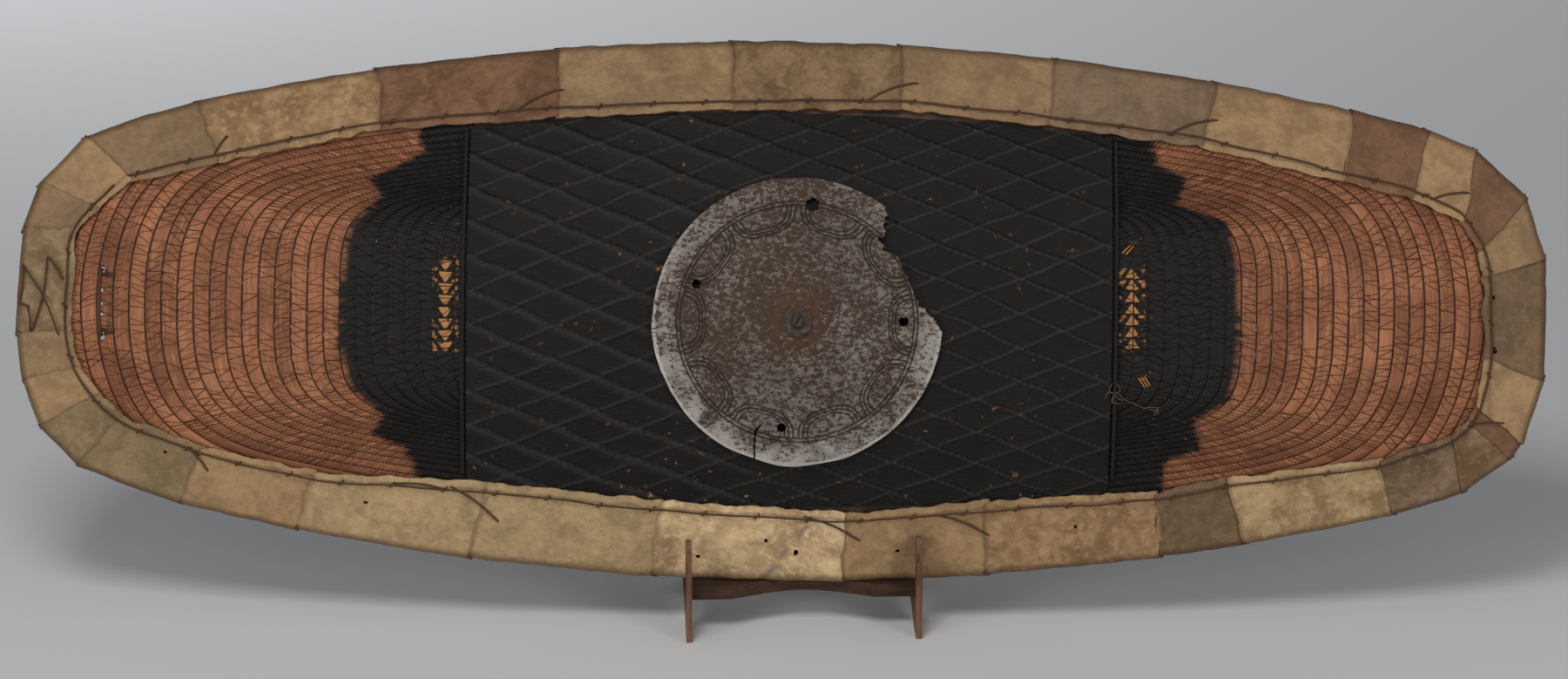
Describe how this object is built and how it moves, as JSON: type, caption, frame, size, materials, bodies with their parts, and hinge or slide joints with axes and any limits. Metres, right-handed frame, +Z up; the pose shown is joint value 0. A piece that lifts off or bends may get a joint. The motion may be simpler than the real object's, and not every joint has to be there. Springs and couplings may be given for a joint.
{
  "type": "hide shield",
  "caption": "Long oval war shield of bound cane strips with a folded rawhide border, a black lozenge panel and an iron boss, upright in a small wooden stand.",
  "frame": {"origin": "on the floor, under the middle of the whole object's box", "axes": "+X along the shield's long axis, to the right as seen from its face; -Y the way the face looks; +Z up"},
  "size_m": [1.2928, 0.1962, 0.476],
  "materials": {
    "cane": "split cane strips, worn satin",
    "rawhide": "dried rawhide, mottled, matt",
    "blackened_skin": "blackened skin, faint sheen on the ridges",
    "iron": "old sheet iron, rust-brown mottled with bare metal",
    "dark_cord": "dark twisted cord, dull",
    "stained_wood": "dark reddish stain, satin, worn at the edges"
  },
  "bodies": {
    "root": {"woven_cane_left_lower": "cane", "woven_cane_left_upper": "cane", "woven_cane_middle_lower": "cane", "woven_cane_middle_upper": "cane", "woven_cane_right_lower": "cane", "woven_cane_right_upper": "cane", "top_hide_patch_01": "rawhide", "top_hide_patch_02": "rawhide", "top_hide_patch_03": "rawhide", "top_hide_patch_04": "rawhide", "top_hide_patch_05": "rawhide", "top_hide_patch_06": "rawhide", "top_hide_patch_07": "rawhide", "top_hide_patch_08": "rawhide", "top_hide_patch_09": "rawhide", "top_hide_patch_10": "rawhide", "right_hide_patch_01": "rawhide", "right_hide_patch_02": "rawhide", "right_hide_patch_03": "rawhide", "right_hide_patch_04": "rawhide", "right_hide_patch_05": "rawhide", "right_hide_patch_06": "rawhide", "bottom_hide_patch_01": "rawhide", "bottom_hide_patch_02": "rawhide", "bottom_hide_patch_03": "rawhide", "bottom_hide_patch_04": "rawhide", "bottom_hide_patch_05": "rawhide", "bottom_hide_patch_06": "rawhide", "bottom_hide_patch_07": "rawhide", "bottom_hide_patch_08": "rawhide", "bottom_hide_patch_09": "rawhide", "bottom_hide_patch_10": "rawhide", "left_hide_patch_01": "rawhide", "left_hide_patch_02": "rawhide", "left_hide_patch_03": "rawhide", "left_hide_patch_04": "rawhide", "left_hide_patch_05": "rawhide", "left_hide_patch_06": "rawhide", "centre_panel": "blackened_skin", "left_seam_cord": "blackened_skin", "right_seam_cord": "blackened_skin", "border_lacing": "dark_cord", "left_end_lacing": "dark_cord", "left_end_loop": "dark_cord", "boss": "iron", "boss_washer": "iron", "boss_stud": "iron", "back_grip": "stained_wood", "left_side_board": "stained_wood", "right_side_board": "stained_wood", "seat_board": "stained_wood"}
  },
  "joints": []
}
